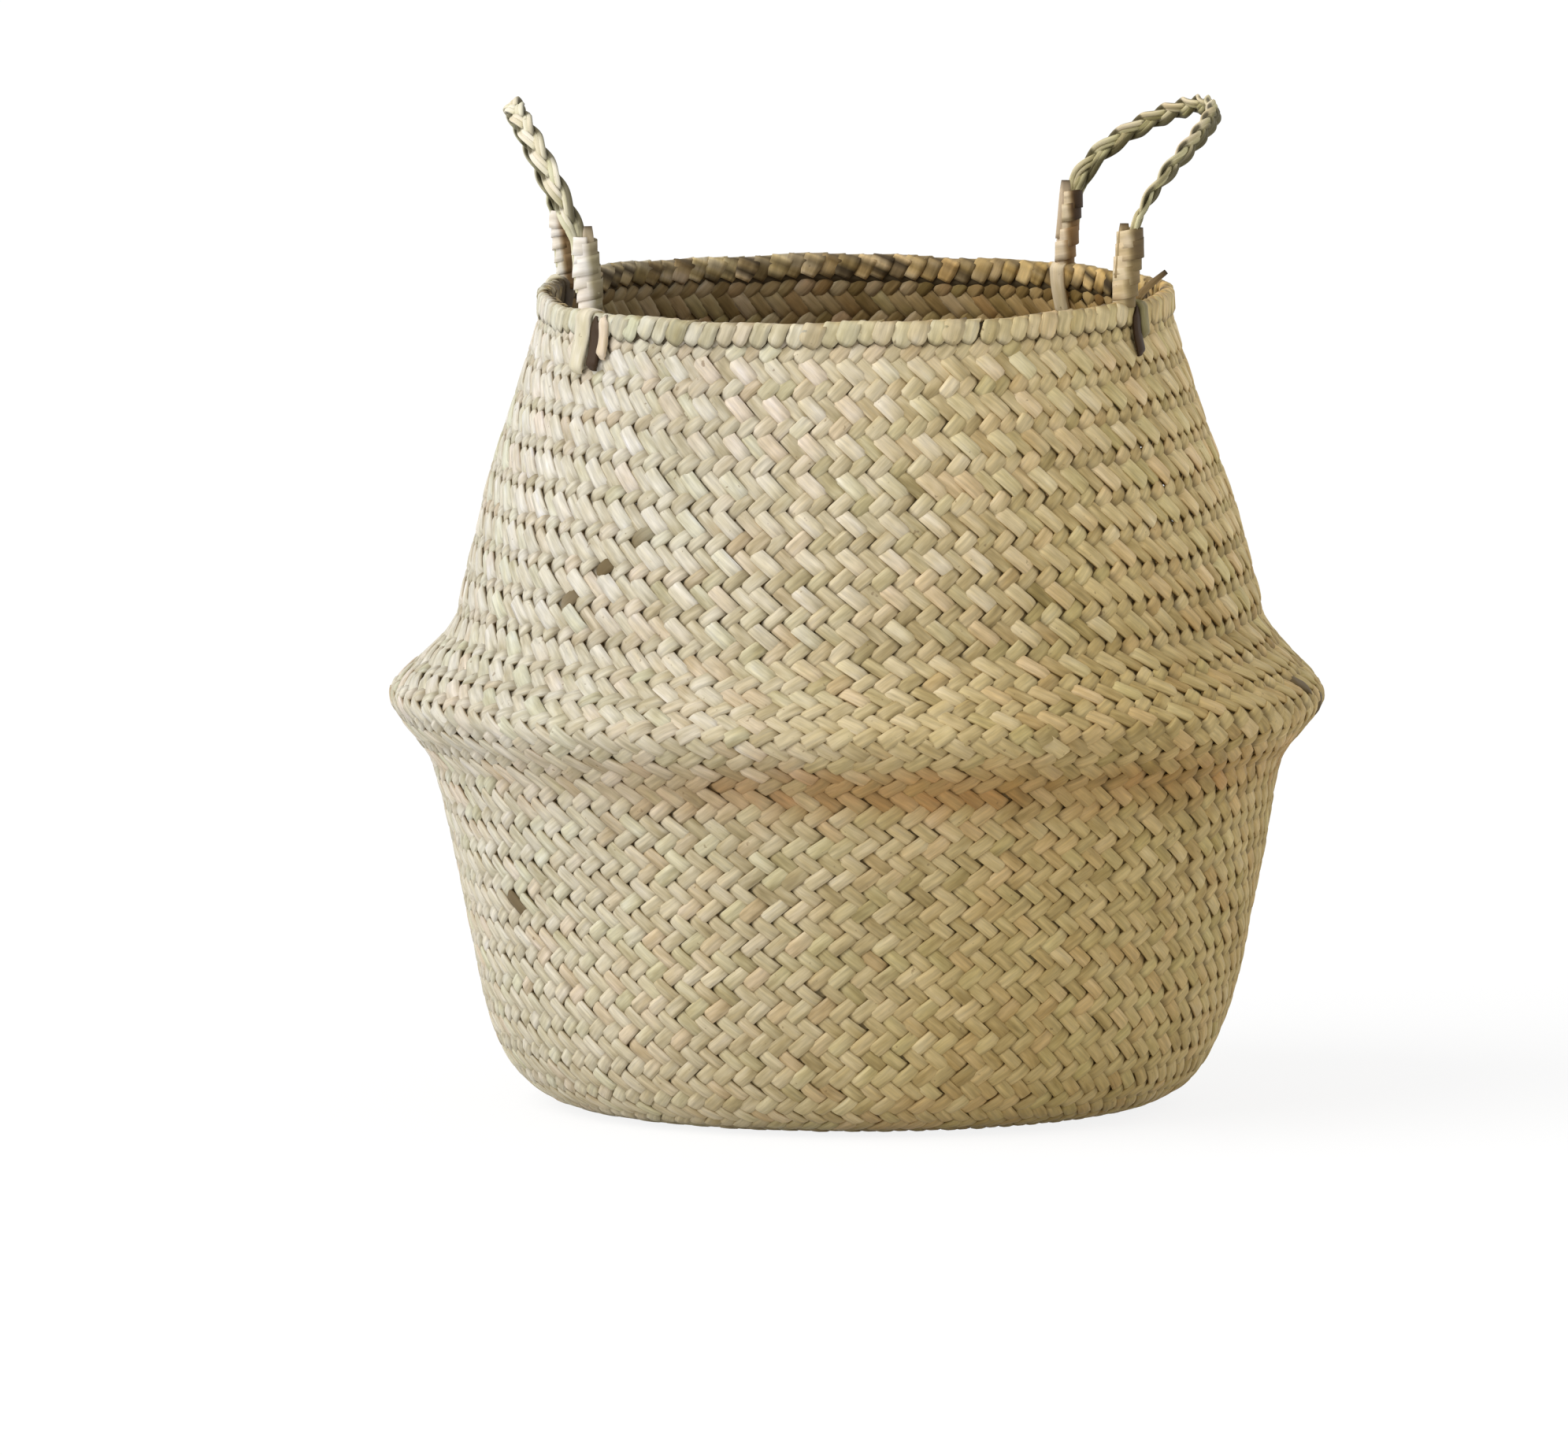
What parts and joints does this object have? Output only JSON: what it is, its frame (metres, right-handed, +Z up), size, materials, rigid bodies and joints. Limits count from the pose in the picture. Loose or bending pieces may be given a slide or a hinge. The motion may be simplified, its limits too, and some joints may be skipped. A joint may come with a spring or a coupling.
{
  "type": "seagrass basket",
  "caption": "Round hand-woven seagrass basket with a folded belly, a narrower open mouth and plaited hinged handles standing on the rim.",
  "frame": {"origin": "middle of the flat base, on the surface that the basket stands on", "axes": "+Z up through the mouth; +X towards the right handle, -X towards the left one; -Y faces the picture's viewer"},
  "size_m": [0.436, 0.436, 0.4715],
  "materials": {
    "weave": "matte",
    "fold": "matte",
    "border": "matte",
    "strap": "satin",
    "plait": "matte",
    "binding": "satin"
  },
  "bodies": {
    "basket": {"woven_base": "weave", "woven_heel": "weave", "heel_bend": "weave", "lower_wall": "weave", "fold_underside": "fold", "fold_topside": "fold", "upper_wall": "weave", "rim_border": "border", "left_near_foot_strap": "strap", "left_far_foot_strap": "strap", "right_near_foot_strap": "strap", "right_far_foot_strap": "strap"},
    "left_handle": {"left_plait_strand_1": "plait", "left_plait_strand_2": "plait", "left_plait_strand_3": "plait", "left_near_binding": "binding", "left_near_tail": "strap", "left_far_binding": "binding", "left_far_tail": "strap"},
    "right_handle": {"right_plait_strand_1": "plait", "right_plait_strand_2": "plait", "right_plait_strand_3": "plait", "right_near_binding": "binding", "right_near_tail": "strap", "right_far_binding": "binding", "right_far_tail": "strap"}
  },
  "joints": [
    {"name": "left_handle_swing", "type": "hinge", "parent": "basket", "child": "left_handle", "pos_m": [-0.13115, -0.01032, 0.3885], "axis": [0.0785, -0.9969, 0], "range_deg": [-90, 80]},
    {"name": "right_handle_swing", "type": "hinge", "parent": "basket", "child": "right_handle", "pos_m": [0.1117, 0.0162, 0.3926], "axis": [-0.1435, 0.9897, 0], "range_deg": [-90, 80]}
  ]
}
